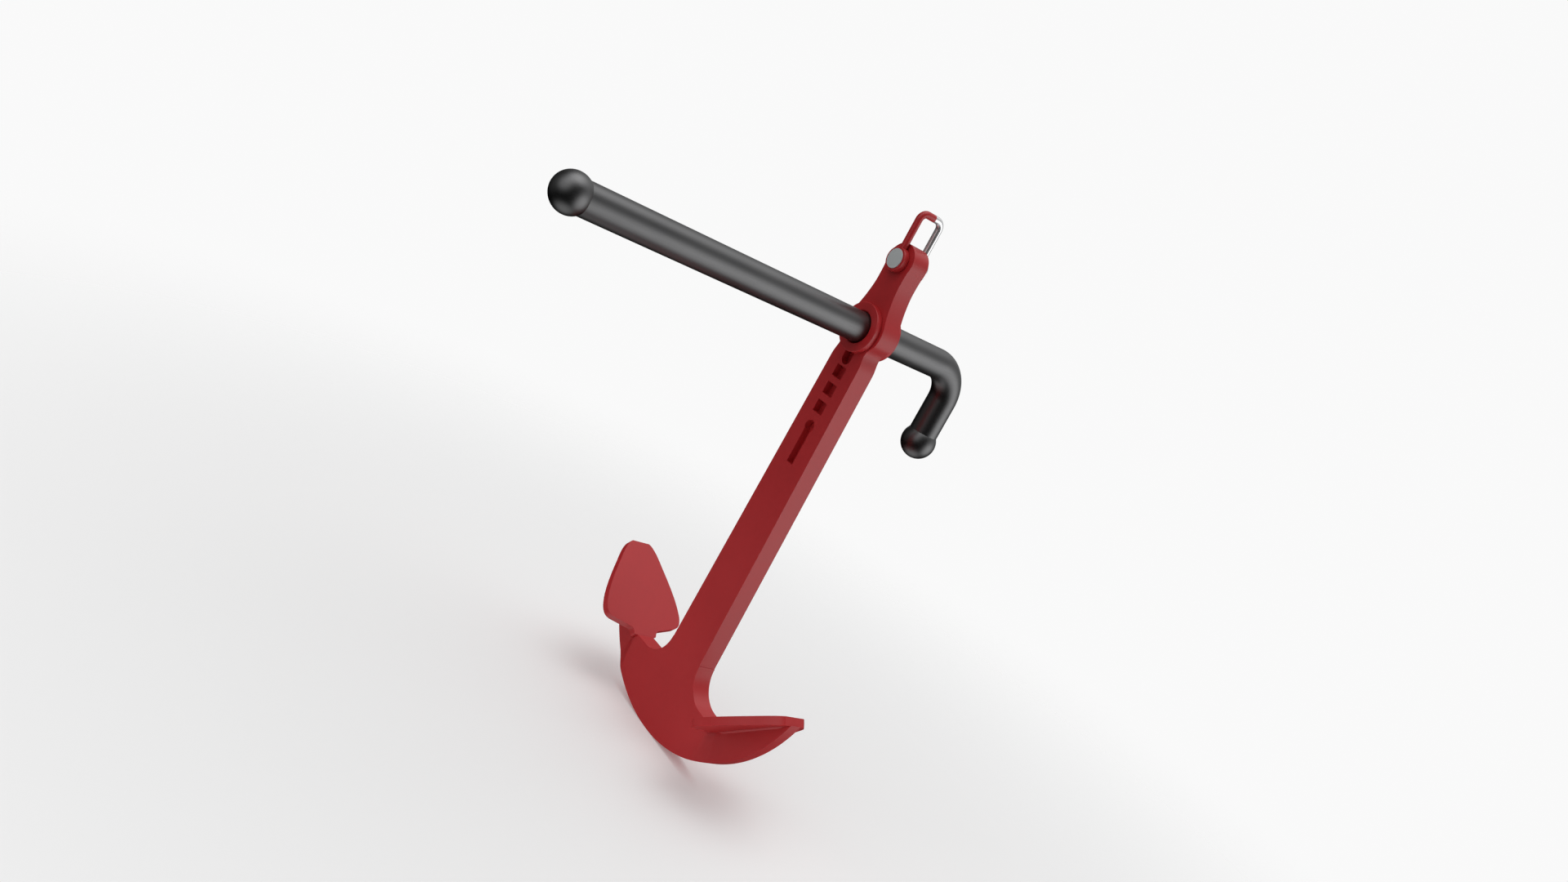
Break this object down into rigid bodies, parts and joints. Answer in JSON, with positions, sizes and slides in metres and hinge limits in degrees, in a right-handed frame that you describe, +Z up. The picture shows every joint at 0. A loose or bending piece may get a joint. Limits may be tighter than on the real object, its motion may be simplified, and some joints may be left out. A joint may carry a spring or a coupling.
{
  "type": "stocked anchor",
  "caption": "Painted stocked anchor: flat shank with curved arms and flat palms, sliding bent round stock with ball ends, and a two-part shackle.",
  "frame": {"origin": "the point inside the shackle's bow where the rode pulls, so the anchor hangs below it", "axes": "+Z up the shank to the shackle; +X along the arms; +Y along the stock, towards its bent end"},
  "size_m": [0.332, 0.5076, 0.5759],
  "materials": {
    "red_paint": "satin red enamel",
    "dark_steel": "satin blackened steel",
    "grey_steel": "satin",
    "polished_steel": "polished",
    "bronze": "machined"
  },
  "bodies": {
    "shackle": {"shackle_painted_half": "red_paint", "shackle_polished_half": "polished_steel", "shackle_joint_stud": "grey_steel", "shackle_pin": "grey_steel"},
    "shank": {"shank": "red_paint", "crown_arms": "red_paint", "crown_weld_front": "red_paint", "crown_weld_rear": "red_paint", "palm_right": "red_paint", "palm_left": "red_paint", "palm_weld_right_front": "red_paint", "palm_weld_right_rear": "red_paint", "palm_weld_left_front": "red_paint", "palm_weld_left_rear": "red_paint", "eye_collar_front": "red_paint", "eye_collar_rear": "red_paint", "head_bush": "bronze"},
    "lock_pad": {"lock_pad": "bronze"},
    "lock_screw": {"lock_screw": "grey_steel"},
    "eye_bush": {"eye_bush": "bronze"},
    "stock": {"stock_rod": "dark_steel", "long_ball": "dark_steel", "long_ball_stud": "grey_steel", "long_ball_grub_screw": "grey_steel", "leg_ball": "dark_steel", "leg_ball_stud": "grey_steel", "leg_ball_grub_screw": "grey_steel"}
  },
  "joints": [
    {"name": "shackle_swing", "type": "hinge", "parent": "shackle", "child": "shank", "pos_m": [0, 0, -0.0451], "axis": [0, 1, 0], "range_deg": [-140, 140]},
    {"name": "lock_pad_travel", "type": "slide", "parent": "shank", "child": "lock_pad", "axis": [-1, 0, 0], "range_m": [0, 0.0015]},
    {"name": "lock_screw_turn", "type": "hinge", "parent": "lock_pad", "child": "lock_screw", "pos_m": [-0.025, 0, -0.1165], "axis": [-1, 0, 0], "range_deg": [0, 360]},
    {"name": "stock_turn", "type": "hinge", "parent": "shank", "child": "eye_bush", "pos_m": [0, 0, -0.1165], "axis": [0, 1, 0], "continuous": true},
    {"name": "stock_slide", "type": "slide", "parent": "eye_bush", "child": "stock", "axis": [0, 1, 0], "range_m": [-0.078, 0.3]}
  ],
  "couplings": [
    {"joint": "lock_pad_travel", "follows": "lock_screw_turn", "m_per_rad": 0.00023873}
  ]
}
